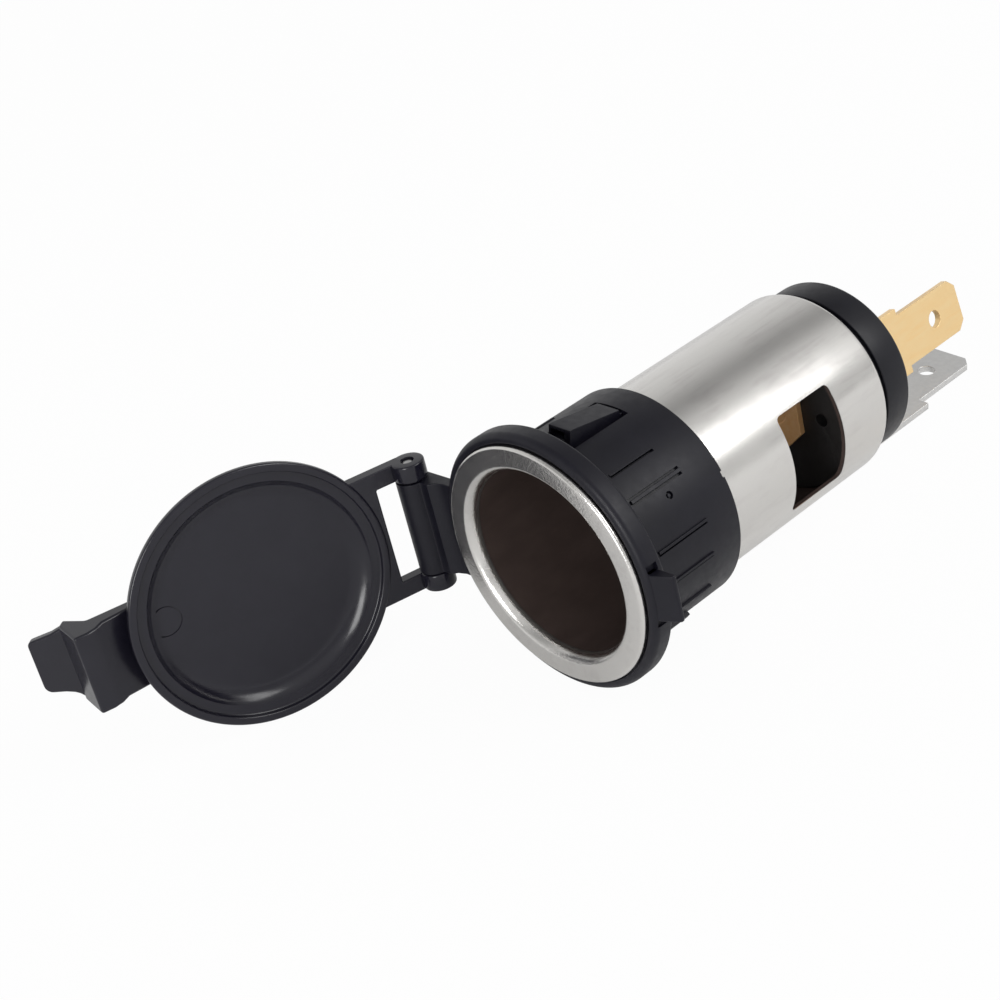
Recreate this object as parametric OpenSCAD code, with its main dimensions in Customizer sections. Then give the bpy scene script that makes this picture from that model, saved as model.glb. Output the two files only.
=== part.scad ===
// A panel-mounted 12 volt power socket: a nickel-plated can in a black
// mounting collar with a hinged lid, closed at the rear by an insulating cap
// that carries two push-on blades. The socket's axis runs along Y with its
// mouth facing -Y. The origin is on that axis, in the plane where the collar's
// rim seats on the panel. The lid is drawn open.

/* [Can] */
// Bore that the plug slides in
bore_d = 21; // [20:0.1:22]
// Wall of the drawn can
can_wall = 0.5; // [0.4:0.05:0.7]
// Depth of the can from the mouth to its rear face
can_depth = 42.3; // [39:0.1:48]
// Width of the flange's face round the lead-in
flange_w = 2.54; // [2.3:0.02:2.8]
// Height of the flange's rolled rim
flange_t = 0.9; // [0.7:0.05:1.1]
// Depth of the bevel that leads the plug in
lead_in = 1; // [0.4:0.1:1.4]
// Radius of the can's rear corner
can_corner = 0.8; // [0.7:0.1:1.6]
// Width of the windows in the can
window_w = 11.1; // [6:0.1:12]
// Length of the windows along the can
window_l = 8.3; // [5:0.1:9]
// Rear edge of the windows to the can's rear face
window_up = 7.7; // [7:0.1:9]
// Corner radius of the windows
window_corner = 0.6; // [0.2:0.1:1.5]

/* [Collar] */
// Wall of the collar's rim round the can's flange
rim_wall = 1; // [0.8:0.05:1.4]
// Thickness of the collar's rim
rim_t = 2.45; // [2:0.05:3]
// Wall of the sleeve that enters the panel
sleeve_wall = 1.05; // [0.9:0.05:1.4]
// Length of the sleeve behind the rim
sleeve_l = 13.2; // [11:0.1:17]
// Width of the ring that seats on the panel
seat_w = 0.95; // [0.8:0.05:1]
// Step from the can's flange down to the collar's rim
flange_proud = 0.55; // [0.3:0.05:0.7]
// Height of the ribs on the outside of the sleeve
rib_h = 0.22; // [0.1:0.02:0.3]
// Thickness of a narrow rib
rib_t = 0.32; // [0.2:0.02:0.5]

/* [Snap tongues] */
// Direction of the upper tongue, seen from the front
tongue_angle = 86.5; // [75:0.5:100]
// Width of a tongue
tongue_w = 3; // [2:0.1:4]
// Length of a tongue and its slots
tongue_l = 8.3; // [6.6:0.1:9]
// Height of a tongue's nose over the sleeve
tongue_h = 1.2; // [0.6:0.1:1.4]
// Width of the slots round a tongue
tongue_slot = 0.8; // [0.5:0.1:1]

/* [Hinge] */
// Rim of the collar to the hinge axis
hinge_out = 4.51; // [4.3:0.01:5]
// Hinge axis below the mouth
hinge_drop = 0.6; // [0.5:0.05:0.8]
// Diameter of the hinge barrel and of the knuckles
barrel_d = 3.6; // [3.2:0.1:4]
// Length of the collar's barrel
barrel_l = 11.1; // [9:0.1:12]
// Length of each knuckle on the lid
knuckle_l = 2; // [1.4:0.1:3]
// Diameter of the hinge pin
pin_d = 1.5; // [1.2:0.1:1.8]
// Running clearance round the hinge pin
pin_clear = 0.04; // [0.02:0.01:0.08]
// Gap between a knuckle and the end of the barrel
knuckle_gap = 0.15; // [0.1:0.05:0.3]

/* [Lid] */
// Height of the lid from its edge to its crown
lid_t = 3.35; // [3.1:0.05:3.7]
// Depth of the dish inside the lid
dish_depth = 1.8; // [1.5:0.1:2]
// Gap between the closed lid and the rim and flange that it covers
lid_gap = 0.1; // [0.1:0.05:0.2]
// How far the lid stands open
open_angle = 104; // [0:1:110]
// Thickness of the lid's arms
arm_t = 1.4; // [1.2:0.1:1.45]
// Hinge axis to the far edge of the opening between the arms
arm_gap = 4.05; // [3.6:0.05:4.3]

/* [Latch] */
// Width of the latch plate
latch_w = 9.2; // [8:0.1:10]
// Lid's edge to the end of the latch plate
latch_l = 5.2; // [5:0.1:6]
// Length of the bar across the end of the latch plate
bar_l = 2.05; // [1.6:0.05:2.2]
// Width of the catch on the collar
catch_w = 5.2; // [4:0.1:6]
// How far the catch stands out from the rim
catch_out = 2.05; // [1.6:0.05:2.2]
// Thickness of the catch
catch_t = 1.35; // [1:0.05:1.5]
// Length of the finger lip beyond the latch plate
lip_l = 3.6; // [2.5:0.1:5]
// How far the finger lip rises from its root
lip_rise = 2.3; // [1.5:0.1:3]
// Width of the finger lip at its end
lip_w = 5; // [4:0.1:6]
// Thickness of the finger lip
lip_t = 1; // [0.8:0.05:1.2]

/* [Rear insulator and contacts] */
// Step from the can down to the rear cap
cap_step = 0.8; // [0.4:0.05:1]
// Thickness of the rear cap
cap_t = 4.85; // [4:0.05:6]
// Diameter of the rivet that clamps the contact stack
rivet_d = 2.6; // [2.2:0.1:2.8]
// Thickness of the blade stock
blade_t = 0.8; // [0.6:0.05:1]
// Width of a push-on blade
blade_w = 6.3; // [4.8:0.1:6.6]
// Rear cap to the tip of the live blade
live_out = 19.2; // [16:0.05:24]
// Rear cap to the tip of the earth blade
earth_out = 19.8; // [16:0.05:24]
// Length of each blade from its shoulder to its tip
blade_l = 10.7; // [8:0.1:12]
// Turn of the live blade about the socket's axis
live_turn = 11; // [0:1:20]
// Turn of the earth blade about the socket's axis
earth_turn = -7; // [-12:1:6]
// Diameter of the holes near the tips
blade_hole = 2; // [1.4:0.1:2.6]
// Can's rear face to the face of the centre contact
contact_up = 6.3; // [5.5:0.1:7]
// Width of the centre contact
contact_w = 7; // [6:0.1:8]
// Length of the centre contact
contact_l = 9.4; // [8:0.1:11]
// Thickness of the centre contact
contact_t = 0.8; // [0.6:0.05:1]

/* [Hidden] */
$fn = 96;
eps = 0.01;
fit = 0.05;

bore_r = bore_d / 2;
can_r = bore_r + can_wall;
lead_r = bore_r + 0.36;
flange_r = lead_r + flange_w;
window_end = can_depth - window_up;
window_at = window_end - window_l;
can_hole_r = 4.2;
seat_z = -flange_t;
contact_depth = can_depth - contact_up;
taper_z = -contact_depth + 0.2;
taper_r = bore_r - 0.12;

recess_r = flange_r + 0.15;
rim_r = recess_r + rim_wall;
grip_r = can_r + fit;
sleeve_r = grip_r + sleeve_wall;
rim_front = -flange_proud;
rim_rear = rim_front - rim_t;
sleeve_end = -rim_rear + sleeve_l;
seat_r = rim_r - seat_w;
relief_z = rim_rear + 0.3;
tongue_front = rim_rear - 1.4;
tongue_end = -tongue_front + tongue_l;

hinge_x = rim_r + hinge_out;
hinge_z = -hinge_drop;
barrel_r = barrel_d / 2;
knuckle_in = barrel_l / 2 + knuckle_gap;
knuckle_out = knuckle_in + knuckle_l;
link_front = hinge_z - 0.45;
link_rear = hinge_z - barrel_r;

lid_r = rim_r;
lid_in = rim_front + lid_gap;
lid_out = lid_in + lid_t;
floor_z = lid_in + dish_depth;
dish_r = lid_r - 3.25;
arm_in = lid_in + 0.15;
arm_root = lid_r - 4.3;
catch_front = rim_front - 0.4;
catch_rear = catch_front - catch_t;
catch_x = rim_r + catch_out;
latch_end = lid_r + latch_l;
bar_x = latch_end - bar_l;
bar_in = lid_in + 0.3;
plate_in = lid_in + 1.55;
fold_z = lid_out + 1.1;

cap_r = can_r - cap_step;
cap_front = -can_depth - fit;
cap_rear = cap_front - cap_t;
insulator_front = -contact_depth - contact_t - 0.02;
insulator_rear = -can_depth + can_wall;
live_tip = -cap_rear + live_out;
earth_tip = -cap_rear + earth_out;
live_x = 2.7;
live_y = -1.1;
live_tail = 3.6;
earth_x = 1.6;
earth_y = -cap_r + 2;
earth_foot = 3.2;
live_shoulder = 0.8;
earth_shoulder = 1.3;
foot_w = 7.6;
pocket_t = blade_t + 0.1;
washer_r = live_x - blade_t / 2 - 0.15;
collar_r = 3.4;

// Places a shape that is drawn seen from the front, with +Z out of the mouth
// and z = 0 in the plane of the mouth.
module face_front() translate([0, rim_rear, 0]) rotate([90, 0, 0]) children();

// Round bar along the socket's axis from z0 down to z1.
module bar(r, z0, z1) translate([0, 0, z1]) cylinder(h = z0 - z1, r = r);

// Block with its corners at two points.
module block(a, b) translate(a) cube(b - a);

// Flat outline with rounded corners, centred.
module rounded(w, h, r) {
    union() {
        square([w - 2 * r, h], center = true);
        square([w, h - 2 * r], center = true);
        for (x = [-1, 1], y = [-1, 1])
            translate([x * (w / 2 - r), y * (h / 2 - r)]) circle(r = r, $fn = 32);
    }
}

// Points on an arc in the plane of a profile.
function arc(c, r, a0, a1, n) =
    [for (i = [0:n]) let (a = a0 + (a1 - a0) * i / n) [c[0] + r * cos(a), c[1] + r * sin(a)]];

// Can: a drawn tube with a rolled flange, a rounded rear corner and windows
module can_profile() {
    roll = flange_t / 2;
    inner = max(can_corner - can_wall, 0.1);
    polygon(concat(
        [[bore_r, taper_z], [bore_r, -lead_in], [lead_r, 0], [flange_r - roll, 0]],
        arc([flange_r - roll, -roll], roll, 90, -90, 8),
        [[can_r, -flange_t]],
        arc([can_r - can_corner, -can_depth + can_corner], can_corner, 0, -90, 6),
        [[can_hole_r, -can_depth], [can_hole_r, -can_depth + can_wall]],
        arc([taper_r - inner, -can_depth + can_wall + inner], inner, -90, 0, 4)));
}
module can_windows() {
    translate([-can_r - 1, 0, -(window_at + window_end) / 2])
        rotate([0, 90, 0]) linear_extrude(2 * can_r + 2) rounded(window_l, window_w, window_corner);
}
module can() {
    color("silver") face_front() difference() {
        rotate_extrude($fn = 128) can_profile();
        can_windows();
    }
}

// Collar: rim, sleeve, ribs, snap tongues, hinge barrel and catch
module rim_profile() {
    edge = 0.6;
    polygon(concat(
        [[grip_r, seat_z], [recess_r, seat_z], [recess_r, rim_front]],
        arc([rim_r - edge, rim_front - edge], edge, 90, 0, 6),
        [[rim_r, rim_rear + 0.3], [rim_r - 0.3, rim_rear], [seat_r, rim_rear],
         [seat_r, relief_z], [sleeve_r, relief_z], [sleeve_r, -sleeve_end + 0.2],
         [sleeve_r - 0.2, -sleeve_end], [grip_r, -sleeve_end]]));
}
// Ribs on the outside of the sleeve: direction, start and end in parts of the
// sleeve's length, then width and height in narrow ribs
rib_rows = [[112, 0.23, 0.48, 1, 1], [53, 0.14, 0.47, 1, 1], [37, 0.13, 0.53, 1.6, 1],
            [10.2, 0.14, 0.67, 1, 1], [-8, 0.15, 0.67, 1, 1], [-30, 0.15, 0.67, 2, 1],
            [-44, 0.15, 0.5, 2.4, 2.2]];
module outer_ribs() {
    for (side = [0, 180], rib = rib_rows) rotate(rib[0] + side)
        block([sleeve_r - 0.2, -rib_t * rib[3] / 2, rim_rear - rib[2] * sleeve_l],
              [sleeve_r + rib_h * rib[4], rib_t * rib[3] / 2, rim_rear - rib[1] * sleeve_l]);
}
// Sink mark on the outside and notch in the rear edge of the sleeve
module sleeve_marks() {
    for (side = [0, 180]) rotate(side) {
        rotate(30) translate([sleeve_r - 0.25, 0, rim_rear - 0.46 * sleeve_l]) rotate([0, 90, 0])
            cylinder(h = 1, r = 0.38, $fn = 24);
        rotate(23.7) block([grip_r - 1, -0.35, -sleeve_end - 1], [sleeve_r + 1, 0.35, -sleeve_end + 0.35]);
    }
}
module tongue_cut() {
    w = tongue_w / 2 + tongue_slot;
    block([grip_r - 1, -w, -tongue_end], [sleeve_r + 1, w, tongue_front]);
}
module tongue() {
    inner = grip_r + 0.1;
    front = tongue_front - tongue_slot;
    rear = -tongue_end + 0.3;
    w = tongue_w / 2;
    difference() {
        rotate([90, 0, 0]) translate([0, 0, -w]) linear_extrude(tongue_w)
            polygon([[inner, front], [sleeve_r, front], [sleeve_r + tongue_h, front - 0.3],
                     [sleeve_r + tongue_h, front - 0.7], [sleeve_r + 0.5, rear],
                     [sleeve_r - 0.35, rear], [sleeve_r - 0.35, -tongue_end - 0.5],
                     [inner + 0.1, -tongue_end - 0.5], [inner + 0.1, -tongue_end], [inner, -tongue_end]]);
        block([sleeve_r + 0.1, -w + 0.8, front - 1.1], [sleeve_r + tongue_h - 0.35, w - 0.25, front + 1]);
    }
}
module hinge_barrel() {
    block([-hinge_x, -barrel_l / 2, link_rear], [-rim_r + 1.4, barrel_l / 2, link_front]);
    translate([-hinge_x, barrel_l / 2, hinge_z]) rotate([90, 0, 0]) cylinder(h = barrel_l, r = barrel_r);
}
module catch_relief() {
    for (y = [-1, 1]) block([rim_r - 0.7, y * (catch_w / 2 + 0.4) - 0.4, catch_rear],
                            [rim_r + 1, y * (catch_w / 2 + 0.4) + 0.4, catch_front]);
}
module catch_block() {
    rotate([90, 0, 0]) translate([0, 0, -catch_w / 2]) linear_extrude(catch_w)
        polygon([[rim_r - 1, catch_front], [rim_r, catch_front], [catch_x, catch_rear + 0.5],
                 [catch_x, catch_rear], [rim_r - 1, catch_rear]]);
}
module collar() {
    color("#2b2c30") face_front() difference() {
        union() {
            difference() {
                union() {
                    rotate_extrude($fn = 128) rim_profile();
                    outer_ribs();
                }
                for (a = [0, 180]) rotate(tongue_angle + a) tongue_cut();
                sleeve_marks();
                catch_relief();
            }
            for (a = [0, 180]) rotate(tongue_angle + a) tongue();
            hinge_barrel();
            catch_block();
        }
        bar(grip_r, 1, -sleeve_end - 1);
        translate([0, 0, seat_z]) cylinder(h = 1, r = recess_r);
        translate([-hinge_x, barrel_l, hinge_z]) rotate([90, 0, 0])
            cylinder(h = 2 * barrel_l, r = pin_d / 2 + pin_clear);
    }
}

// Lid: a domed and dished disc with two hinge arms and a latch plate, drawn
// closed
module lid_profile() {
    edge = 0.2;
    polygon(concat(
        [[0, floor_z], [dish_r, floor_z]],
        arc([dish_r, floor_z - 1], 1, 90, 20, 5),
        [[recess_r - 1, lid_gap + 0.12], [recess_r - 0.85, lid_gap], [recess_r - 0.3, lid_gap],
         [recess_r - 0.25, lid_gap + 0.25], [recess_r, lid_gap + 0.25], [recess_r, lid_in + 0.1],
         [recess_r + 0.1, lid_in]],
        arc([lid_r - edge, lid_in + edge], edge, -90, 0, 4),
        [[lid_r, lid_out - 2.7], [lid_r - 0.2, lid_out - 2.3], [lid_r - 0.5, lid_out - 1.75],
         [lid_r - 1.1, lid_out - 1.15], [lid_r - 2, lid_out - 0.7], [lid_r - 3.6, lid_out - 0.3],
         [lid_r - 6.5, lid_out - 0.07], [0, lid_out]]));
}
module lid_disc() rotate_extrude($fn = 128) lid_profile();
module ejector_mark() {
    translate([dish_r - 1.2, 1.3, floor_z]) difference() {
        cylinder(h = 0.15, r = 1.75, $fn = 48);
        translate([0, 0, -0.1]) cylinder(h = 0.4, r = 1.55, $fn = 48);
    }
}
module lid_arms() {
    for (s = [-1, 1]) {
        block([-hinge_x, s > 0 ? knuckle_in : -knuckle_out, arm_in],
              [-arm_root, s > 0 ? knuckle_out : -knuckle_in, arm_in + arm_t]);
        translate([-hinge_x, s > 0 ? knuckle_out : -knuckle_in, hinge_z]) rotate([90, 0, 0])
            cylinder(h = knuckle_l, r = barrel_r);
    }
    block([-hinge_x + arm_gap, -knuckle_in - 0.5, arm_in],
          [-arm_root, knuckle_in + 0.5, arm_in + arm_t]);
}
// Latch: a plate flush with the lid's crown, a bar across its end and a lip
// that rises for a finger
module latch() {
    w = latch_w / 2;
    tip_x = latch_end + lip_l;
    tip_z = fold_z + lip_rise;
    rotate([90, 0, 0]) translate([0, 0, -w]) linear_extrude(latch_w)
        polygon([[lid_r - 6, lid_out - 0.6], [lid_r - 2, plate_in + 0.6], [lid_r - 1.15, plate_in],
                 [bar_x, plate_in], [bar_x, bar_in], [latch_end - 0.3, bar_in],
                 [latch_end, bar_in + 0.3], [latch_end + 0.3, fold_z], [latch_end - 0.3, fold_z + lip_t - 0.1],
                 [latch_end - 1, fold_z + 0.3], [bar_x - 0.3, lid_out - 0.1], [lid_r - 6, lid_out - 0.1]]);
    intersection() {
        rotate([90, 0, 0]) translate([0, 0, -w]) linear_extrude(latch_w)
            polygon([[latch_end - 0.5, fold_z - 0.3], [latch_end + 0.3, fold_z], [tip_x, tip_z],
                     [tip_x - 0.4, tip_z + lip_t - 0.2], [latch_end - 0.3, fold_z + lip_t - 0.1]]);
        translate([0, 0, plate_in]) linear_extrude(tip_z + lip_t)
            polygon([[latch_end - 1, -w + 0.3], [latch_end + 0.3, -w + 0.5], [tip_x - 0.7, -lip_w / 2],
                     [tip_x, -lip_w / 2 + 0.7], [tip_x, lip_w / 2 - 0.5], [tip_x - 0.5, lip_w / 2],
                     [latch_end + 0.3, w - 0.5], [latch_end - 1, w - 0.3]]);
    }
}
module lid() {
    color("#26272b") face_front()
        translate([-hinge_x, 0, hinge_z]) rotate([0, -open_angle, 0]) translate([hinge_x, 0, -hinge_z])
        difference() {
            union() {
                lid_disc();
                latch();
                difference() {
                    lid_arms();
                    translate([0, 0, lid_in - 1]) cylinder(h = lid_t, r = lid_r - 0.5);
                }
            }
            translate([-hinge_x, knuckle_out + 1, hinge_z]) rotate([90, 0, 0])
                cylinder(h = 2 * knuckle_out + 2, r = pin_d / 2);
            ejector_mark();
        }
}

// Hinge pin: pressed in the lid's knuckles, turning in the collar's barrel
module hinge_pin() {
    length = 2 * knuckle_out - 0.8;
    color("#b9b9b6") face_front() translate([-hinge_x, length / 2, hinge_z]) rotate([90, 0, 0])
        cylinder(h = length, r = pin_d / 2, $fn = 48);
}

// Inner insulator: a disc on the can's bottom with a neck in its hole, as wide
// as the can's taper allows
function taper_at(z) = taper_r + (bore_r - taper_r) * (z + can_depth - can_corner) / (taper_z + can_depth - can_corner);
module inner_insulator() {
    front_r = taper_at(insulator_front) - fit / 2;
    rear_r = taper_r - fit / 2;
    rear = insulator_rear + fit;
    color("#17171a") face_front() difference() {
        union() {
            rotate_extrude($fn = 128) polygon([[0, insulator_front], [front_r - 0.3, insulator_front],
                [front_r, insulator_front - 0.3], [rear_r, -can_depth + can_corner],
                [rear_r - can_corner + 0.4, rear], [0, rear]]);
            bar(can_hole_r - fit, rear + 1, -can_depth);
        }
        bar(rivet_d / 2 + fit, 0, -can_depth - 1);
        translate([6.1, -0.7, insulator_front - 1.5]) cylinder(h = 3, r = 0.75, $fn = 32);
    }
}

// Centre contact: a brass plate with bevelled corners round the rivet's head
module centre_contact() {
    x = contact_w / 2;
    y = contact_l / 2;
    rear = -contact_depth - contact_t;
    color("#c79a52") face_front() difference() {
        translate([0, 0, rear]) linear_extrude(contact_t)
            polygon([[-x, -y + 2], [-x + 2.2, -y], [x - 2.2, -y], [x, -y + 2],
                     [x, y - 2], [x - 2.2, y], [-x + 2.2, y], [-x, y - 2]]);
        bar(rivet_d / 2 + fit, 0, -can_depth);
        translate([0, 0, rear + 0.2]) cylinder(h = contact_t, r1 = rivet_d / 2 + fit,
                                               r2 = rivet_d / 2 + fit + contact_t);
    }
}

// Live washer: an insulating ring between the can's bottom and the cap
module live_washer() {
    color("#8a5a3a") face_front() difference() {
        bar(collar_r, cap_front - 0.02, cap_front - 0.72);
        bar(rivet_d / 2 + fit, 0, -can_depth - 5);
    }
}

// Flat push-on blade from its shoulder to its tip, pointing along -Z
module blade(tip) {
    h = blade_w / 2;
    z = -tip;
    translate([-blade_t / 2, 0, 0]) rotate([90, 0, 90]) linear_extrude(blade_t) difference() {
        polygon([[-h, z + blade_l], [-h, z + 1.1], [-h + 1, z], [h - 1, z], [h, z + 1.1], [h, z + blade_l]]);
        translate([0, z + 4.8]) circle(r = blade_hole / 2, $fn = 48);
    }
}

// Live blade: brass, with a foot under the rivet on the rear cap
module live_blade() {
    base = blade_w / 2 + live_shoulder;
    foot_z = cap_rear - fit;
    color("#e0bd76") face_front() rotate(live_turn) translate([live_x, live_y, 0]) difference() {
        union() {
            blade(live_tip);
            block([-blade_t / 2, -base, -live_tip + blade_l - 0.02], [blade_t / 2, base, foot_z]);
            block([-live_x - live_tail, -foot_w / 2, foot_z - blade_t], [blade_t / 2, foot_w / 2, foot_z]);
        }
        translate([-live_x, -live_y, 0]) bar(rivet_d / 2 + fit, 0, -live_tip);
    }
}

// Earth blade: plated steel, with a foot against the can's bottom
module earth_blade() {
    base = blade_w / 2 + earth_shoulder;
    foot_z = cap_front;
    color("#c9c9c4") face_front() rotate(earth_turn) translate([earth_x, earth_y, 0]) rotate(90) union() {
        blade(earth_tip);
        block([-blade_t / 2, -base, -earth_tip + blade_l - 0.02], [blade_t / 2, base, foot_z]);
        block([-blade_t / 2, -base, foot_z - blade_t], [earth_foot, base, foot_z]);
    }
}

// Rear cap: a disc with a pocket for the earth foot and a notch for its blade
module rear_cap() {
    base = blade_w / 2 + earth_shoulder;
    edge = 0.5;
    color("#1b1b20") face_front() difference() {
        rotate_extrude($fn = 128) polygon(concat(
            [[0, cap_front], [cap_r - edge, cap_front]],
            arc([cap_r - edge, cap_front - edge], edge, 90, 0, 4),
            arc([cap_r - edge, cap_rear + edge], edge, 0, -90, 4),
            [[0, cap_rear]]));
        bar(rivet_d / 2 + fit, 0, cap_rear - 1);
        bar(collar_r + fit, cap_front + 1, cap_front - 0.74);
        rotate(earth_turn) translate([earth_x, earth_y, 0]) rotate(90) {
            block([-5, -base - 0.1, cap_front - pocket_t], [earth_foot + 0.1, base + 0.1, cap_front + 1]);
            block([-5, -base - 0.1, cap_rear - 1], [blade_t / 2 + 0.1, base + 0.1, cap_front + 1]);
        }
    }
}

// Rivet washer: steel, between the live foot and the rivet's upset end
module rivet_washer() {
    z = cap_rear - fit - blade_t - 0.02;
    color("#c2c2bd") face_front() difference() {
        bar(washer_r, z, z - 0.5);
        bar(rivet_d / 2 + fit, 0, z - 2);
    }
}

// Rivet: clamps the contact, both insulators, the cap and the live foot
module rivet() {
    top = -contact_depth;
    head = contact_t - 0.2;
    end = cap_rear - fit - blade_t - 0.54;
    color("#d1a964") face_front() {
        bar(rivet_d / 2, top - head / 2, end - 0.01);
        translate([0, 0, top - head]) cylinder(h = head, r1 = rivet_d / 2, r2 = rivet_d / 2 + head);
        rotate_extrude() polygon(concat([[0, end], [0, end - 0.6]], arc([washer_r - 0.8, end], 0.6, -90, 0, 4)));
    }
}

can();
collar();
lid();
hinge_pin();
inner_insulator();
centre_contact();
live_washer();
earth_blade();
rear_cap();
live_blade();
rivet_washer();
rivet();
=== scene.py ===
"""Looks of a panel-mounted 12 volt power socket with its lid open."""

import math

import bmesh
import bpy
from mathutils import Matrix, Vector


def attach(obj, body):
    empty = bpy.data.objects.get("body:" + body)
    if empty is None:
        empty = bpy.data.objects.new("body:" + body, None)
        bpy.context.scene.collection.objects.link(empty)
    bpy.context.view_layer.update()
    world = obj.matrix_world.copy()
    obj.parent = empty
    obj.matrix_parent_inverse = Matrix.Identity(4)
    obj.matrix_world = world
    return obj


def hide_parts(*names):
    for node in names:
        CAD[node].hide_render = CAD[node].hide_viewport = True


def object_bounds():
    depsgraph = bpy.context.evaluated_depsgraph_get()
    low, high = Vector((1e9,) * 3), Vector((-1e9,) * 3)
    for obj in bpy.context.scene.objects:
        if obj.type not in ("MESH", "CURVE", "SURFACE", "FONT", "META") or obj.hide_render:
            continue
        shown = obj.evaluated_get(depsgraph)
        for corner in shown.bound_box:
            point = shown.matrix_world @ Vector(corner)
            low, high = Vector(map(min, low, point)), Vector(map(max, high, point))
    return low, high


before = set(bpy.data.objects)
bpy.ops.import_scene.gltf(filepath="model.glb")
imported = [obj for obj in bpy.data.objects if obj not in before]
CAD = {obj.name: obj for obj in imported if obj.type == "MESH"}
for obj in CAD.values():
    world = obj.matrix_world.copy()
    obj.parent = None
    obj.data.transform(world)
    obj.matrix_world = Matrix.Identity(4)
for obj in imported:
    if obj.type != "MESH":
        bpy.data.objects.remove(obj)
cad_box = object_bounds()

MM = 0.001

# Where the photograph was taken from, in millimetres of the part's frame
CAMERA_AT = Vector((130.26, -102.78, 94.21)) * MM
CAMERA_RIGHT = Vector((0.66983, 0.70906, -0.22037))
CAMERA_UP = Vector((-0.21170, 0.46684, 0.85863))
LENS = 68.4
# The lamps face this place, partway along the socket
LIT_PLACE = Vector((0, 15, 0)) * MM

# Sizes of the can in millimetres, radii from the axis and depths along +Y from the panel
MOUTH = -3.0
BORE = 10.5
CAN = 11.0
CAN_END = 39.3
CAN_BOTTOM = 0.5
CAN_HOLE = 4.2
CAN_CORNER = 0.8
FLANGE = 13.4
FLANGE_THICK = 0.9
FLANGE_EDGE = 0.32
# The windows start this far behind the mouth
WINDOW_START = 26.3
WINDOW_LENGTH = 8.3
WINDOW_HEIGHT = 11.1
WINDOW_CORNER = 0.6

# Sizes of the rear cap
CAP = 10.2
CAP_GAP = 0.05
CAP_LENGTH = 4.85
CAP_HOLE = 1.4
# The flat under the earth blade: two corners of a block in the front drawing, and its turn
BLADE_FLAT = ((-2.95, -13.2, -49), (6.15, -7.7, -41))
BLADE_TURN = -7

# Sizes of the collar
SLEEVE = 12.1
SLEEVE_BORE = 11.05
SLEEVE_END = 13.2
RIM = 14.55
RECESS = 13.55
RECESS_FLOOR = -2.1
GROOVE = 0.26
TONGUE_TURN = 86.5
NOTCH_TURN = 23.7
CATCH_HALF = 2.6
CATCH_RELIEF = 0.8
# Cuts in the sleeve, each a block by two corners in the front drawing
TONGUE_SLOT = ((10, -2.3, -12.7), (13.2, 2.3, -4.4))
REAR_NOTCH = ((10, -0.35, -17.2), (13.2, 0.35, -15.85))

# Sizes of the hinge, heights counted from its middle
HINGE_AT = (-19.06, -2.4)
BARREL = 1.8
BARREL_HALF = 5.55
BARREL_BORE = 0.79
KNUCKLE_INNER = 5.7
KNUCKLE_OUTER = 7.7
PIN = 0.75
LID_OPEN = 104

# Ribs on the sleeve: direction, start and end behind the rim, width, height, grooves beside it
RIBS = [(112, 3.0, 6.4, 0.3, 0.16, 1), (53, 1.85, 7.9, 0.26, 0.1, 1), (37, 1.7, 8.8, 0.4, 0.24, 2),
        (10.2, 1.85, 8.9, 0.3, 0.18, 1), (-8, 2.0, 8.9, 0.3, 0.18, 1),
        (-30, 2.0, 8.9, 0.64, 0.24, 1), (-44, 2.0, 6.6, 0.77, 0.48, 1)]

# A shape drawn in millimetres from the front, with +Z out of the mouth, put in the part's frame
FACE = (Matrix(((1, 0, 0, 0), (0, 0, -1, MOUTH * MM), (0, 1, 0, 0), (0, 0, 0, 1)))
        @ Matrix.Diagonal((MM, MM, MM, 1)))
# The lid is drawn closed and swung open about its hinge
HINGE = Vector((*HINGE_AT, 0)) * MM
OPEN = (Matrix.Translation(HINGE) @ Matrix.Rotation(math.radians(-LID_OPEN), 4, "Z")
        @ Matrix.Translation(-HINGE))


# Shapes

def object_from(bm, name):
    """Puts a finished bmesh in the scene, as a piece or as a tool for a cut."""
    mesh = bpy.data.meshes.new(name)
    bm.to_mesh(mesh)
    bm.free()
    made = bpy.data.objects.new(name, mesh)
    bpy.context.scene.collection.objects.link(made)
    return made


def cut(piece, tool):
    """Cuts a tool's shape out of a piece and throws the tool away."""
    knife = piece.modifiers.new("cut", "BOOLEAN")
    knife.operation = "DIFFERENCE"
    knife.solver = "EXACT"
    knife.object = tool
    done = bpy.data.meshes.new_from_object(
        piece.evaluated_get(bpy.context.evaluated_depsgraph_get()))
    piece.modifiers.clear()
    piece.data = done
    bpy.data.objects.remove(tool)


def piece_from(bm, name, body, material, cad, smooth=35, tool=None):
    """Makes a bmesh, with a tool's shape cut out, a piece that stands for CAD nodes."""
    piece = object_from(bm, name)
    if tool:
        cut(piece, tool)
    piece.data.materials.clear()
    piece.data.materials.append(material)
    for face in piece.data.polygons:
        face.use_smooth = True
        face.material_index = 0
    piece.data.set_sharp_from_angle(angle=math.radians(smooth))
    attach(piece, body)
    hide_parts(*cad)
    return piece


def collar_piece(bm, name, material, smooth=35, tool=None):
    """A piece of the black collar."""
    return piece_from(bm, name, "socket", material, ["collar"], smooth, tool)


def lid_piece(bm, name, material, smooth=35, tool=None):
    """A piece of the black lid."""
    return piece_from(bm, name, "lid", material, ["lid"], smooth, tool)


def soften(piece, width, segments=2, angle=32, clamp=True):
    """Rounds the moulded or stamped edges of a piece."""
    edge = piece.modifiers.new("edges", "BEVEL")
    edge.width = width * MM
    edge.segments = segments
    edge.limit_method = "ANGLE"
    edge.angle_limit = math.radians(angle)
    edge.use_clamp_overlap = clamp
    edge.harden_normals = True
    edge.miter_outer = "MITER_ARC"


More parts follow.
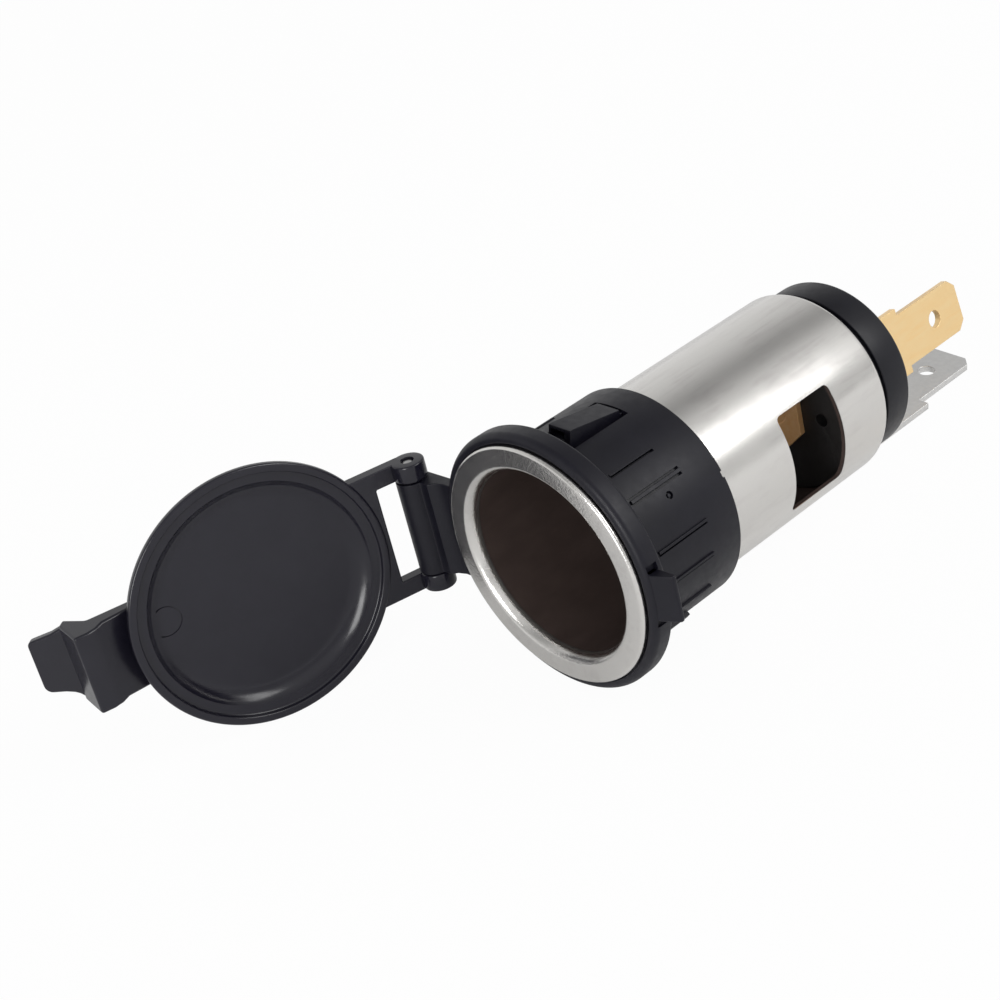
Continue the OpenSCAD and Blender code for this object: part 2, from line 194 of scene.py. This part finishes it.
def merged_copy(node):
    """A copy of a CAD node's mesh with its loose triangles joined."""
    source = CAD[node]
    bm = bmesh.new()
    bm.from_mesh(source.data)
    bm.transform(source.matrix_world)
    touching = 0.002 * MM
    flat = math.radians(0.6)
    bmesh.ops.remove_doubles(bm, verts=bm.verts, dist=touching)
    bmesh.ops.dissolve_limit(bm, angle_limit=flat, use_dissolve_boundaries=False,
                             verts=bm.verts, edges=bm.edges, delimit={"SHARP"})
    return bm


def finished(node, material, width):
    """A CAD node as it comes out of its mould or press, with rounded edges."""
    piece = piece_from(merged_copy(node), node + "_finished", "socket", material, [node])
    soften(piece, width)


def arc(centre, radius, start, end, steps):
    """Points of a round corner in an outline or a turned profile."""
    turns = [math.radians(start + (end - start) * i / steps) for i in range(steps + 1)]
    return [(centre[0] + radius * math.cos(turn), centre[1] + radius * math.sin(turn))
            for turn in turns]


def spun(points, centre, axis, steps):
    """Turns a closed outline once round an axis."""
    bm = bmesh.new()
    corners = [bm.verts.new(point) for point in points]
    edges = [bm.edges.new(pair) for pair in zip(corners, corners[1:] + corners[:1])]
    bmesh.ops.spin(bm, geom=corners + edges, cent=centre, axis=axis, dvec=(0, 0, 0),
                   angle=math.tau, steps=steps, use_merge=True, use_normal_flip=False,
                   use_duplicate=False)
    bmesh.ops.remove_doubles(bm, verts=bm.verts, dist=0.0005 * MM)
    bmesh.ops.recalc_face_normals(bm, faces=bm.faces)
    return bm


def turned(profile, steps):
    """Turns a closed profile of (radius, depth) once round the socket's axis."""
    return spun([(r * MM, y * MM, 0) for r, y in profile], (0, 0, 0), (0, 1, 0), steps)


def put(bm, matrix):
    """Moves a whole shape."""
    bmesh.ops.transform(bm, matrix=matrix, verts=bm.verts)
    return bm


def block(bm, low, high, turn=0):
    """A block between two corners, turned about the socket's axis."""
    middle = [(a + b) / 2 for a, b in zip(low, high)]
    size = [b - a for a, b in zip(low, high)]
    bmesh.ops.create_cube(bm, size=1, matrix=Matrix.Rotation(math.radians(turn), 4, "Z")
                          @ Matrix.Translation(middle) @ Matrix.Diagonal((*size, 1)))


def rod(bm, radius, length, segments, matrix):
    """A round rod, drawn along Z about its middle and then moved."""
    bmesh.ops.create_cone(bm, cap_ends=True, segments=segments, radius1=radius, radius2=radius,
                          depth=length, matrix=matrix)


def sink_rod(bm, radius, length, out, side):
    """A short rod across the sleeve's wall at the place of its sink mark."""
    turn, level = 30, -9.07
    rod(bm, radius, length, 24, Matrix.Rotation(math.radians(turn + side), 4, "Z")
        @ Matrix.Translation((SLEEVE + out, 0, level))
        @ Matrix.Rotation(math.radians(90), 4, "Y"))


def section(outline, low, high, upright=False):
    """An outline pushed out along Y from low to high, or along Z when upright."""
    bm = bmesh.new()
    corners = [bm.verts.new((a, b, low) if upright else (a, low, b)) for a, b in outline]
    pushed = bmesh.ops.extrude_face_region(bm, geom=[bm.faces.new(corners)])
    far = [v for v in pushed["geom"] if isinstance(v, bmesh.types.BMVert)]
    bmesh.ops.translate(bm, verts=far, vec=(0, 0, high - low) if upright else (0, high - low, 0))
    bmesh.ops.recalc_face_normals(bm, faces=bm.faces)
    return bm


def window_punch():
    """The punch for the two windows: a long block with rounded corners."""
    bm = bmesh.new()
    bmesh.ops.create_cube(bm, size=1)
    bmesh.ops.scale(bm, verts=bm.verts,
                    vec=(2 * (CAN + 1) * MM, WINDOW_LENGTH * MM, WINDOW_HEIGHT * MM))
    long_edges = [e for e in bm.edges if abs(e.verts[0].co.x - e.verts[1].co.x) > MM]
    bmesh.ops.bevel(bm, geom=long_edges, offset=WINDOW_CORNER * MM, offset_type="OFFSET",
                    segments=6, profile=0.5, affect="EDGES", material=-1)
    middle = WINDOW_START + WINDOW_LENGTH / 2 + MOUTH
    bmesh.ops.translate(bm, verts=bm.verts, vec=(0, middle * MM, 0))
    return object_from(bm, "window_punch")


def drawn_can(material):
    """The plated can: rolled flange, lead-in, straight bore and a rounded rear corner."""
    lead_in = MOUTH + 1.45
    steepness = 1.5
    fillet = 0.3
    behind = MOUTH + FLANGE_THICK
    rings = (8.0, 20.0, 32.8)
    profile = (
        [(CAN_HOLE, CAN_END), (CAN_HOLE, CAN_END - CAN_BOTTOM)]
        + arc((BORE - 0.42, CAN_END - CAN_CORNER), fillet, 90, 0, 5)
        + [(BORE, y) for y in reversed(rings)] + [(BORE, MOUTH + 1.8)]
        + [(r, lead_in + steepness * (y - lead_in))
           for r, y in arc((BORE + 0.97, lead_in), 0.967, 180, 270, 14)]
        + [(12.6, MOUTH)]
        + arc((FLANGE - FLANGE_EDGE, MOUTH + FLANGE_EDGE), FLANGE_EDGE, -90, 0, 8)
        + arc((FLANGE - fillet, behind - fillet), fillet, 0, 90, 5)
        + [(CAN + 0.4, behind)]
        + arc((CAN + fillet, behind + fillet), fillet, -90, -180, 4)
        + [(CAN, y) for y in rings]
        + arc((CAN - CAN_CORNER, CAN_END - CAN_CORNER), CAN_CORNER, 0, 90, 8)
    )
    can = piece_from(turned(profile, 192), "drawn_can", "socket", material,
                     ["can"], 30, window_punch())
    soften(can, 0.06, 2, 50)


def collar_body(material):
    """Rim and sleeve, with the tongues' slots, sink marks, notches, grooves and catch reliefs."""
    profile = (
        [(SLEEVE_BORE, SLEEVE_END), (SLEEVE_BORE, RECESS_FLOOR), (RECESS, RECESS_FLOOR)]
        + arc((RECESS + 0.1, -2.35), 0.1, 180, 270, 3)
        + arc((RIM - 0.75, -1.7), 0.75, -90, 0, 10)
        + arc((RIM - 0.4, -0.4), 0.4, 0, 90, 6)
        + [(13.6, 0), (13.6, -0.3)]
        + arc((SLEEVE + 0.4, 0.1), 0.4, -90, -180, 5)
        + [(SLEEVE, 4.5), (SLEEVE, 9.0)]
        + arc((SLEEVE - 0.25, SLEEVE_END - 0.25), 0.25, 0, 90, 4)
    )
    cuts = bmesh.new()
    for side in (0, 180):
        block(cuts, *TONGUE_SLOT, TONGUE_TURN + side)
        block(cuts, *REAR_NOTCH, NOTCH_TURN + side)
        sink_rod(cuts, 0.42, 1.2, 0.25, side)
        # The narrow grooves beside the ribs
        for turn, start, end, width, height, grooves in RIBS:
            for low in (-width / 2 - GROOVE, width / 2)[:grooves]:
                block(cuts, (SLEEVE - 0.4, low, MOUTH - end),
                      (SLEEVE + 0.5, low + GROOVE, MOUTH - start), turn + side)
    # The reliefs on both sides of the catch
    for low in (-CATCH_HALF - CATCH_RELIEF, CATCH_HALF):
        block(cuts, (RIM - 0.7, low, -2.3), (RIM + 1, low + CATCH_RELIEF, -0.95))
    body = collar_piece(turned(profile, 256), "collar_body", material, 32,
                        object_from(put(cuts, FACE), "slots"))
    soften(body, 0.06, 2, 50)


def collar_ribs(material):
    """The low ribs on both sides of the sleeve and the disc in each sink mark."""
    ribs = bmesh.new()
    for side in (0, 180):
        for turn, start, end, width, height, grooves in RIBS:
            block(ribs, (SLEEVE - 0.5, -width / 2, MOUTH - end),
                  (SLEEVE + height, width / 2, MOUTH - start), turn + side)
        sink_rod(ribs, 0.2, 1, -0.55, side)
    soften(collar_piece(put(ribs, FACE), "collar_ribs", material), 0.05)


def tongue(material, name, turn):
    """A sprung tongue: a wedge with a nose, hollow behind its front edge."""
    outline = [(11.15, -5.2), (12.1, -5.2), (13.3, -5.5), (13.3, -5.9), (12.2, -12.3),
               (11.75, -12.3), (11.75, -13.2), (11.25, -13.2), (11.25, -12.7), (11.15, -12.7)]
    swing = FACE @ Matrix.Rotation(math.radians(turn), 4, "Z")
    hollow = bmesh.new()
    block(hollow, (12.2, -0.7, -6.3), (12.95, 1.25, -4.2))
    piece = collar_piece(put(section(outline, -1.5, 1.5), swing), name, material,
                         tool=object_from(put(hollow, swing), "hollow"))
    soften(piece, 0.12, 3)


def hinge_barrel(material):
    """The collar's barrel with the web that joins it to the rim."""
    web = [(-16.9, -0.25), (-16.2, -0.2), (-15.6, -0.75), (-14.6, -1.05), (-12.7, -1.05),
           (-12.7, -2.4)]
    outline = web + arc((HINGE_AT[0], MOUTH - HINGE_AT[1]), BARREL, 270, 14, 30)
    bore = bmesh.new()
    rod(bore, BARREL_BORE * MM, 20 * MM, 64, Matrix.Translation(HINGE))
    piece = collar_piece(put(section(outline, -BARREL_HALF, BARREL_HALF), FACE), "hinge_barrel",
                         material, tool=object_from(bore, "pin_bore"))
    soften(piece, 0.1, 3)


def catch(material):
    """The catch on the rim that the latch's bar passes."""
    outline = [(12.8, -0.95), (14.6, -0.95), (16.6, -1.8), (16.6, -2.3), (12.8, -2.3)]
    piece = collar_piece(put(section(outline, -CATCH_HALF, CATCH_HALF), FACE), "catch", material)
    soften(piece, 0.2, 3)


def knuckle_ring(low, high, edge=0.2):
    """A ring round the hinge's axis with rounded outer edges."""
    round_at = BARREL - edge
    profile = ([(PIN, low)] + arc((round_at, low + edge), edge, -90, 0, 4)
               + arc((round_at, high - edge), edge, 0, 90, 4) + [(PIN, high)])
    points = [(HINGE.x + r * MM, HINGE.y, h * MM) for r, h in profile]
    return spun(points, HINGE, (0, 0, 1), 72)


def lid_disc(material):
    """The dished lid with its ejector mark, turned in the closed pose and swung open."""
    inside = ([(0, 1.35), (6.0, 1.35)] + arc((10.25, -1.3), 2.65, 90, 33, 12)
              + [(12.85, 0.14), (13.0, 0.1)] + arc((13.35, -0.15), 0.25, 90, 0, 5)
              + arc((13.8, -0.25), 0.2, 180, 270, 4))
    outside = arc((RIM - 0.25, -0.2), 0.25, -90, 0, 5) + [
        (RIM, 0.2), (RIM - 0.2, 0.6), (RIM - 0.5, 1.15), (RIM - 1.1, 1.75), (RIM - 2, 2.2),
        (RIM - 3.6, 2.6), (RIM - 6.5, 2.83), (0, 2.9)]
    profile = [(r, MOUTH - z) for r, z in inside + outside]
    shallow, deep = MOUTH - 1.2, MOUTH - 1.44
    ring = turned([(1.58, shallow), (1.75, shallow), (1.75, deep), (1.58, deep)], 64)
    mark_at = Vector((10.1, 0, 1.3)) * MM
    lid_piece(put(turned(profile, 192), OPEN), "lid_disc", material, 40,
              object_from(put(ring, OPEN @ Matrix.Translation(mark_at)), "ejector_mark"))


def lid_arms(material):
    """Both arms with the web between them, and their knuckles round the pin."""
    arm_end, web_end = -18.6, -15.01
    plan = ([(arm_end, KNUCKLE_OUTER)] + arc((0, 0), 14.0, 146.6, 213.4, 24)
            + [(arm_end, -KNUCKLE_OUTER), (arm_end, -KNUCKLE_INNER), (web_end, -KNUCKLE_INNER),
               (web_end, KNUCKLE_INNER), (arm_end, KNUCKLE_INNER)])
    arms = lid_piece(put(section(plan, -0.3, 1.1, True), OPEN @ FACE), "lid_arms", material)
    soften(arms, 0.14, 3)
    for name, low, high in (("lower_knuckle", -KNUCKLE_OUTER, -KNUCKLE_INNER),
                            ("upper_knuckle", KNUCKLE_INNER, KNUCKLE_OUTER)):
        lid_piece(put(knuckle_ring(low, high), OPEN), name, material)


def latch(material):
    """The latch plate with the bar across its end, and the lip for a finger."""
    bar_corner = (20.05, 4.0)
    outline = [(9.5, 1.6), (13.2, 1.2), (16.2, 0.85), (17.1, 0.2), (18.1, -0.1), (19.6, -0.1),
               bar_corner, (19.3, 4.9), (17.4, 2.8), (9.5, 2.72)]
    bar = lid_piece(put(section(outline, -4.6, 4.6), OPEN @ FACE), "latch_bar", material)
    soften(bar, 0.3, 4, clamp=False)
    plan = ([(-0.7, 4.3), (-0.7, -4.3), (-0.1, -4.2), (0.4, -3.75), (0.9, -3.5), (1.8, -3.3)]
            + arc((3.1, -2.3), 0.9, -90, 0, 6) + arc((3.3, 2.5), 0.7, 0, 75, 5)
            + [(1.2, 3.75), (-0.1, 4.3)])
    slope = (Matrix.Translation((bar_corner[0], 0, bar_corner[1]))
             @ Matrix.Rotation(math.radians(-34.9), 4, "Y"))
    lip = lid_piece(put(section(plan, 0, 0.95, True), OPEN @ FACE @ slope), "finger_lip", material)
    soften(lip, 0.22, 4, clamp=False)


def pressed_pin(material):
    """The hinge pin with its peened ends."""
    half = [(0, 7.55), (0.4, 7.52), (0.65, 7.38), (PIN, 7.15)]
    profile = half + [(r, -h) for r, h in reversed(half)]
    stand = Matrix.Translation(HINGE) @ Matrix.Rotation(math.radians(90), 4, "X")
    piece_from(put(turned(profile, 48), stand), "pressed_pin", "lid", material,
               ["hinge_pin"], 60)


def insulating_cap(material):
    """The rear cap: a narrow neck behind the can, a round body and a flat for the earth blade."""
    front = CAN_END + CAP_GAP
    rear = front + CAP_LENGTH
    neck, neck_end = CAP - 0.45, front + 0.85
    front_edge, rear_edge = 0.12, 0.5
    profile = ([(CAP_HOLE, front), (neck, front), (neck, neck_end)]
               + arc((CAP - front_edge, neck_end + front_edge), front_edge, 270, 360, 4)
               + arc((CAP - rear_edge, rear - rear_edge), rear_edge, 0, 90, 6)
               + [(CAP_HOLE, rear)])
    flat = bmesh.new()
    block(flat, *BLADE_FLAT, BLADE_TURN)
    cap = piece_from(turned(profile, 192), "insulating_cap", "socket", material,
                     ["rear_cap"], 32, object_from(put(flat, FACE), "blade_flat"))
    soften(cap, 0.06, 2, 50)


# Finishes

def add(tree, kind, **settings):
    """A shader node with its sockets set by name and its options set by keyword."""
    node = tree.nodes.new(kind)
    for key, value in settings.items():
        if key in node.inputs:
            node.inputs[key].default_value = value
        else:
            setattr(node, key, value)
    return node


def wire(tree, start, out, end, into):
    """Joins an output of one shader node to an input of another."""
    tree.links.new(start.outputs[out], end.inputs[into])


def combined(tree, operation, first, first_out, second, second_out):
    """The product, sum or other result of two grey values."""
    result = add(tree, "ShaderNodeMath", operation=operation)
    wire(tree, first, first_out, result, 0)
    wire(tree, second, second_out, result, 1)
    return result


def blended(tree, factor, first, second, surface):
    """Shows one shader where the factor is 0 and another where it is 1."""
    blend = add(tree, "ShaderNodeMixShader")
    wire(tree, factor, "Value", blend, "Fac")
    wire(tree, first, 0, blend, 1)
    wire(tree, second, 0, blend, 2)
    wire(tree, blend, 0, tree.nodes[surface], "Surface")


def finish(name, **sockets):
    """A new finish with its constant sockets set on the shader itself."""
    material = bpy.data.materials.new(name)
    material.use_nodes = True
    tree = material.node_tree
    shader = tree.nodes["Principled BSDF"]
    for key, value in sockets.items():
        shader.inputs[key.replace("_", " ")].default_value = value
    return material, tree, shader


def noise(tree, place, scale, detail=3, stretch=(1, 1, 1), roughness=0.5):
    """Noise over the part's own frame, scale in waves per millimetre."""
    grid = add(tree, "ShaderNodeMapping")
    grid.inputs["Scale"].default_value = [s / MM for s in stretch]
    wire(tree, place, "Object", grid, "Vector")
    grain = add(tree, "ShaderNodeTexNoise", Scale=scale, Detail=detail, Roughness=roughness)
    wire(tree, grid, "Vector", grain, "Vector")
    return grain


def spread(tree, source, out, low, high, start=0.3, end=0.7):
    """Spreads a grey value from low to high."""
    span = add(tree, "ShaderNodeMapRange")
    span.inputs["From Min"].default_value = start
    span.inputs["From Max"].default_value = end
    span.inputs["To Min"].default_value = low
    span.inputs["To Max"].default_value = high
    wire(tree, source, out, span, "Value")
    return span


def tint(tree, source, out, low, high, start=0.3, end=0.7):
    """A colour between two tones that follows a grey value."""
    ramp = add(tree, "ShaderNodeValToRGB")
    ramp.color_ramp.elements[0].position = start
    ramp.color_ramp.elements[0].color = (*low, 1)
    ramp.color_ramp.elements[1].position = end
    ramp.color_ramp.elements[1].color = (*high, 1)
    wire(tree, source, out, ramp, "Fac")
    return ramp


def uneven(tree, shader, height, out, depth):
    """Makes a surface uneven by a grey value, depth in millimetres."""
    bump = add(tree, "ShaderNodeBump", Strength=1.0, Distance=depth * MM)
    wire(tree, height, out, bump, "Height")
    wire(tree, bump, "Normal", shader, "Normal")


def moulded(name, tones, roughness, grain=7.0, depth=0.0008, level=0.5):
    """Moulded black plastic with a fine grain and uneven gloss."""
    material, tree, shader = finish(name, Specular_IOR_Level=level)
    place = add(tree, "ShaderNodeTexCoord")
    cloud = noise(tree, place, 0.35)
    wire(tree, tint(tree, cloud, "Fac", *tones), "Color", shader, "Base Color")
    patch = noise(tree, place, 1.1, 4)
    wire(tree, spread(tree, patch, "Fac", *roughness), "Result", shader, "Roughness")
    uneven(tree, shader, noise(tree, place, grain, 2), "Fac", depth)
    return material


def inside_mask(tree, place):
    """1 where the bore is painted dark brown and where the windows' cut edges get painted shade, 0
    on the outside and on the flange.
    """
    axes = add(tree, "ShaderNodeSeparateXYZ")
    wire(tree, place, "Object", axes, "Vector")
    flat = add(tree, "ShaderNodeCombineXYZ")
    wire(tree, axes, "X", flat, "X")
    wire(tree, axes, "Z", flat, "Z")
    length = add(tree, "ShaderNodeVectorMath", operation="LENGTH")
    wire(tree, flat, "Vector", length, 0)

    # Along the windows the dark reaches almost through the wall, as painted shade on the windows'
    # cut edges
    window_end = MOUTH + WINDOW_START + WINDOW_LENGTH
    begins = spread(tree, axes, "Y", 0, 1, 5 * MM, 15 * MM)
    ends = spread(tree, axes, "Y", 1, 0, (window_end + 0.4) * MM, (window_end + 1.4) * MM)
    windows = combined(tree, "MULTIPLY", begins, "Result", ends, "Result")
    limit = spread(tree, windows, "Value", (BORE + 0.08) * MM, (CAN - 0.08) * MM, 0, 1)
    inward = combined(tree, "SUBTRACT", limit, "Result", length, "Value")
    near = spread(tree, inward, "Value", 0, 1, -0.03 * MM, 0.03 * MM)

    # It starts behind the lead-in and stops before the can's rear face
    deep = spread(tree, axes, "Y", 0, 1, (MOUTH + 0.9) * MM, (MOUTH + 1.5) * MM)
    bottom = spread(tree, axes, "Y", 1, 0, (CAN_END - 0.35) * MM, (CAN_END - 0.25) * MM)
    along = combined(tree, "MULTIPLY", deep, "Result", bottom, "Result")
    return combined(tree, "MULTIPLY", near, "Result", along, "Value"), axes


def plated(name):
    """Satin nickel over drawn steel: lengthwise streaks, a pebbled flange, a dark brown bore and
    painted shade on the windows' cut edges.
    """
    material, tree, shader = finish(name)
    place = add(tree, "ShaderNodeTexCoord")
    inside, axes = inside_mask(tree, place)

    bright = ((0.69, 0.67, 0.65), (0.74, 0.725, 0.70))
    # Dark brown tones for the bore, which are also painted shade on the windows' cut edges
    bore_dark_and_edge_shade = ((0.050, 0.035, 0.031), (0.064, 0.045, 0.040))
    streaks = noise(tree, place, 1.6, 4, (1, 0.08, 1), 0.6)
    smudges = noise(tree, place, 0.33, 5, (1, 0.6, 1), 0.62)
    wear = combined(tree, "ADD", streaks, "Fac", smudges, "Fac")
    clean = tint(tree, wear, "Value", *bright, 0.75, 1.25)
    bore_mottle = noise(tree, place, 0.4, 3, (1, 0.5, 1))
    dark = tint(tree, bore_mottle, "Fac", *bore_dark_and_edge_shade)
    colour = add(tree, "ShaderNodeMix", data_type="RGBA")
    wire(tree, inside, "Value", colour, "Factor")
    wire(tree, clean, "Color", colour, 6)
    wire(tree, dark, "Color", colour, 7)
    wire(tree, colour, 2, shader, "Base Color")

    shine = spread(tree, inside, "Value", 1, 0, 0.93, 1)
    wire(tree, shine, "Result", shader, "Metallic")
    dull = spread(tree, inside, "Value", 0.5, 0.12, 0, 1)
    wire(tree, dull, "Result", shader, "Specular IOR Level")
    rubbed = spread(tree, smudges, "Fac", 0.2, 0.25)
    gloss = add(tree, "ShaderNodeMath", operation="MULTIPLY_ADD")
    wire(tree, inside, "Value", gloss, 0)
    gloss.inputs[1].default_value = 0.4
    wire(tree, rubbed, "Result", gloss, 2)
    wire(tree, gloss, "Value", shader, "Roughness")

    pebbles = noise(tree, place, 4.5)
    front = spread(tree, axes, "Y", 1, 0.06, (MOUTH + 1.0) * MM, (MOUTH + 1.6) * MM)
    height = combined(tree, "MULTIPLY", pebbles, "Fac", front, "Result")
    uneven(tree, shader, height, "Value", 0.02)
    return material


def stamped(name, tones, roughness, depth=0.003, stretch=(1, 0.15, 1), metal=1.0):
    """Stamped sheet metal with rolling marks and a soft sheen."""
    material, tree, shader = finish(name, Metallic=metal)
    place = add(tree, "ShaderNodeTexCoord")
    marks = noise(tree, place, 1.6, 4, stretch, 0.6)
    wire(tree, tint(tree, marks, "Fac", *tones), "Color", shader, "Base Color")
    patch = noise(tree, place, 0.8, 4)
    wire(tree, spread(tree, patch, "Fac", *roughness), "Result", shader, "Roughness")
    uneven(tree, shader, noise(tree, place, 4.0, 3, stretch), "Fac", depth)
    return material


def pressed_fibre(name):
    """Brown pressed fibre with long flecks."""
    material, tree, shader = finish(name, Roughness=0.75)
    place = add(tree, "ShaderNodeTexCoord")
    flecks = noise(tree, place, 2.5, 5, (1, 3, 1), 0.7)
    colour = tint(tree, flecks, "Fac", (0.16, 0.075, 0.035), (0.30, 0.15, 0.075))
    wire(tree, colour, "Color", shader, "Base Color")
    uneven(tree, shader, flecks, "Fac", 0.01)
    return material


black_plastic = moulded("black_plastic", ((0.0032, 0.0029, 0.0072), (0.0050, 0.0047, 0.0098)),
                        roughness=(0.38, 0.48), level=0.31)
lid_plastic = moulded("lid_plastic", ((0.0066, 0.0060, 0.0118), (0.0088, 0.0082, 0.0145)),
                      roughness=(0.17, 0.24), grain=5.0, depth=0.0004, level=0.48)
cap_thermoset = moulded("cap_thermoset", ((0.0035, 0.0035, 0.0070), (0.0052, 0.0052, 0.0092)),
                        roughness=(0.34, 0.44), level=0.31)
inner_thermoset = moulded("inner_thermoset", ((0.010, 0.009, 0.009), (0.016, 0.014, 0.013)),
                          roughness=(0.45, 0.6))
nickel = plated("satin_nickel")
brass_blade = stamped("brass_blade", ((1.0, 0.71, 0.355), (1.0, 0.75, 0.41)),
                      roughness=(0.30, 0.38), depth=0.0015)
contact_brass = stamped("contact_brass", ((0.95, 0.52, 0.22), (1.0, 0.60, 0.28)),
                        roughness=(0.34, 0.46), metal=0.3)
zinc_steel = stamped("zinc_steel", ((0.69, 0.685, 0.675), (0.76, 0.755, 0.745)),
                     roughness=(0.36, 0.46), depth=0.006, stretch=(1, 1, 1))
pin_steel = stamped("pin_steel", ((0.42, 0.42, 0.42), (0.55, 0.55, 0.54)), roughness=(0.3, 0.42))
fibre = pressed_fibre("fibre")

drawn_can(nickel)
collar_body(black_plastic)
collar_ribs(black_plastic)
tongue(black_plastic, "upper_tongue", TONGUE_TURN)
tongue(black_plastic, "lower_tongue", TONGUE_TURN + 180)
hinge_barrel(black_plastic)
catch(black_plastic)
lid_disc(lid_plastic)
lid_arms(lid_plastic)
latch(lid_plastic)
pressed_pin(pin_steel)
finished("inner_insulator", inner_thermoset, 0.1)
finished("centre_contact", contact_brass, 0.08)
finished("live_washer", fibre, 0.06)
finished("earth_blade", zinc_steel, 0.09)
insulating_cap(cap_thermoset)
finished("live_blade", brass_blade, 0.09)
finished("rivet_washer", zinc_steel, 0.08)
finished("rivet", contact_brass, 0.05)

# The solids get the finishes of the pieces that stand for them
for node, material in (
        ("can", nickel), ("collar", black_plastic), ("lid", lid_plastic), ("hinge_pin", pin_steel),
        ("inner_insulator", inner_thermoset), ("centre_contact", contact_brass),
        ("live_washer", fibre), ("earth_blade", zinc_steel), ("rear_cap", cap_thermoset),
        ("live_blade", brass_blade), ("rivet_washer", zinc_steel), ("rivet", contact_brass)):
    CAD[node].data.materials.clear()
    CAD[node].data.materials.append(material)


# Studio

def floor():
    """A white table under the socket. It keeps the socket's shadow."""
    bm = bmesh.new()
    bmesh.ops.create_grid(bm, x_segments=1, y_segments=1, size=3)
    bmesh.ops.translate(bm, verts=bm.verts, vec=(0, 0, cad_box[0][2] - 0.2 * MM))
    top = object_from(bm, "table_top")
    material, tree, paint = finish("white_table", Base_Color=(0.85, 0.85, 0.85, 1),
                                   Roughness=0.8, Specular_IOR_Level=0.2)
    white = add(tree, "ShaderNodeEmission", Strength=1.0)
    rays = add(tree, "ShaderNodeLightPath")

    # How white the table shows to the camera and in gloss, the rest being lit paint with the shadow
    to_camera, in_gloss = 0.96, 0.12
    seen = add(tree, "ShaderNodeMath", operation="MULTIPLY")
    seen.inputs[1].default_value = to_camera
    wire(tree, rays, "Is Camera Ray", seen, 0)
    shown = add(tree, "ShaderNodeMath", operation="MULTIPLY_ADD")
    shown.inputs[1].default_value = in_gloss
    wire(tree, rays, "Is Glossy Ray", shown, 0)
    wire(tree, seen, "Value", shown, 2)
    through = combined(tree, "MAXIMUM", shown, "Value", rays, "Is Transmission Ray")
    blended(tree, through, paint, white, "Material Output")
    top.data.materials.append(material)


# Brightness of the studio round the socket's axis, in degrees from +X to +Z
STUDIO = [(-180, 0.9), (-165, 1.15), (-117, 1.05), (-100, 0.6), (-60, 0.65), (-20, 0.8),
          (3, 0.62), (17, 0.58), (27, 0.78), (45, 0.8), (60, 0.74), (75, 0.62), (87, 0.38),
          (99, 0.3), (111, 0.44), (123, 0.58), (135, 0.68), (150, 0.74), (170, 0.8), (180, 0.9)]


def studio():
    """Grey walls as a smooth band of light round the socket, white to the camera."""
    world = bpy.data.worlds.new("studio")
    bpy.context.scene.world = world
    world.use_nodes = True
    tree = world.node_tree
    walls = tree.nodes["Background"]
    walls.inputs["Strength"].default_value = 1.0
    place = add(tree, "ShaderNodeTexCoord")
    axes = add(tree, "ShaderNodeSeparateXYZ")
    wire(tree, place, "Generated", axes, "Vector")
    angle = combined(tree, "ARCTAN2", axes, "Z", axes, "X")
    turn = spread(tree, angle, "Value", 0, 1, -math.pi, math.pi)
    ramp = add(tree, "ShaderNodeValToRGB")
    stops = ramp.color_ramp.elements
    stops.remove(stops[1])
    for i, (degrees, level) in enumerate(STUDIO):
        share = (degrees + 180) / 360
        stop = stops.new(share) if i else stops[0]
        stop.position = share
        stop.color = (level, level, level, 1)
    wire(tree, turn, "Result", ramp, "Fac")
    wire(tree, ramp, "Color", walls, "Color")
    white = add(tree, "ShaderNodeBackground", Strength=1.0, Color=(1, 1, 1, 1))
    rays = add(tree, "ShaderNodeLightPath")
    seen = combined(tree, "MAXIMUM", rays, "Is Camera Ray", rays, "Is Transmission Ray")
    blended(tree, seen, walls, white, "World Output")


def softbox(name, at, width, height, power):
    """A soft box that faces the socket."""
    data = bpy.data.lights.new(name, "AREA")
    data.shape = "RECTANGLE"
    data.size = width
    data.size_y = height
    data.energy = power
    lamp = bpy.data.objects.new(name, data)
    bpy.context.scene.collection.objects.link(lamp)
    spot = Vector(at)
    aim = (LIT_PLACE - spot).to_track_quat("-Z", "Y")
    lamp.matrix_world = Matrix.Translation(spot) @ aim.to_matrix().to_4x4()


def camera():
    """The photograph's own view."""
    data = bpy.data.cameras.new("camera")
    data.lens = LENS
    data.sensor_width = 36
    data.clip_start = 0.01
    eye = bpy.data.objects.new("camera", data)
    bpy.context.scene.collection.objects.link(eye)
    right = CAMERA_RIGHT.normalized()
    back = right.cross(CAMERA_UP).normalized()
    up = back.cross(right)
    eye.matrix_world = (Matrix.Translation(CAMERA_AT)
                        @ Matrix((right, up, back)).transposed().to_4x4())
    bpy.context.scene.camera = eye


floor()
studio()
softbox("rear_softbox", (0.49, 0.28, 0.40), width=0.36, height=0.29, power=1.5)
softbox("front_softbox", (0.25, -0.63, 0.13), width=0.23, height=0.46, power=2.6)
camera()
bpy.context.scene.view_settings.view_transform = "Standard"
